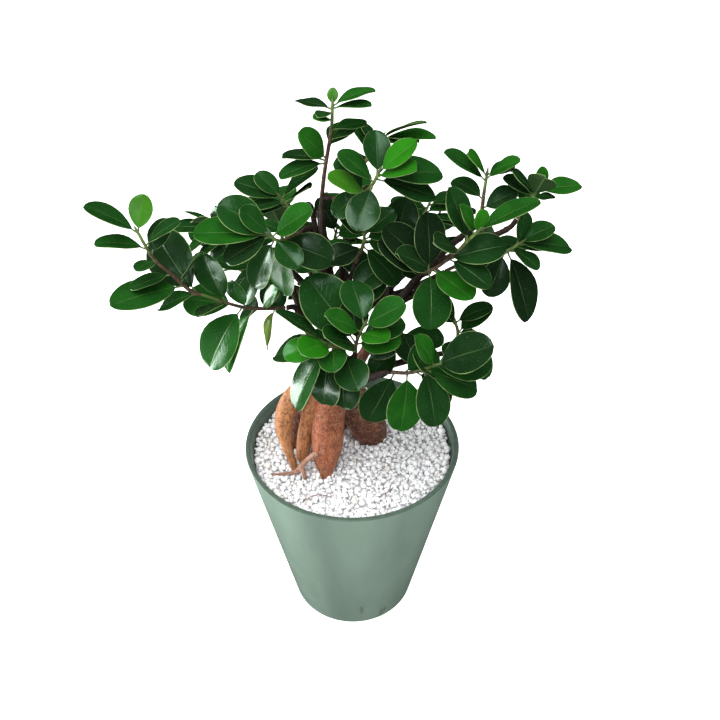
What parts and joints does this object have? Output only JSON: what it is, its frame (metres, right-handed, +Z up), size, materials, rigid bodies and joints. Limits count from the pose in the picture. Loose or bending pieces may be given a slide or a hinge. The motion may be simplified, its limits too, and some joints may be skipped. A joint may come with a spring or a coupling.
{
  "type": "ginseng ficus in a pot",
  "caption": "Ginseng ficus with swollen reddish roots standing in white perlite and glossy dark green leaves on twigs, in a tapered sage green pot.",
  "frame": {"origin": "middle of the pot's flat base, on the surface that it stands on", "axes": "+Z up along the pot's axis, -Y towards the viewer of the picture, +X to that viewer's right"},
  "size_m": [0.2758, 0.1734, 0.3987],
  "materials": {
    "pot_plastic": "sage green, satin",
    "mix": "dark, rough",
    "perlite": "white, matt, granular",
    "bark": "reddish brown, fine ring cracks",
    "leaf": "glossy dark green with a pale rim"
  },
  "bodies": {
    "root": {"pot": "pot_plastic", "potting_mix": "mix", "perlite_layer": "perlite", "trunk": "bark", "shoot_front": "leaf", "shoot_front_low": "leaf", "shoot_right_low": "leaf", "shoot_left_low": "leaf", "shoot_left_tip": "leaf", "shoot_right_mid": "leaf", "shoot_left_mid": "leaf", "shoot_crown": "leaf", "shoot_top": "leaf", "shoot_left_high": "leaf", "shoot_right_side": "leaf", "shoot_right_high": "leaf", "shoot_right_tip": "leaf", "shoot_inner": "leaf", "shoot_back_high": "leaf", "shoot_right_back_low": "leaf", "shoot_right_inner": "leaf", "shoot_centre": "leaf", "shoot_left_inner": "leaf", "shoot_left_back": "leaf", "shoot_right_high_back": "leaf", "shoot_low_centre": "leaf", "shoot_back_left": "leaf", "shoot_back_mid": "leaf", "shoot_back_right": "leaf", "shoot_side_left": "leaf", "shoot_side_right": "leaf", "shoot_back_low": "leaf"}
  },
  "joints": []
}
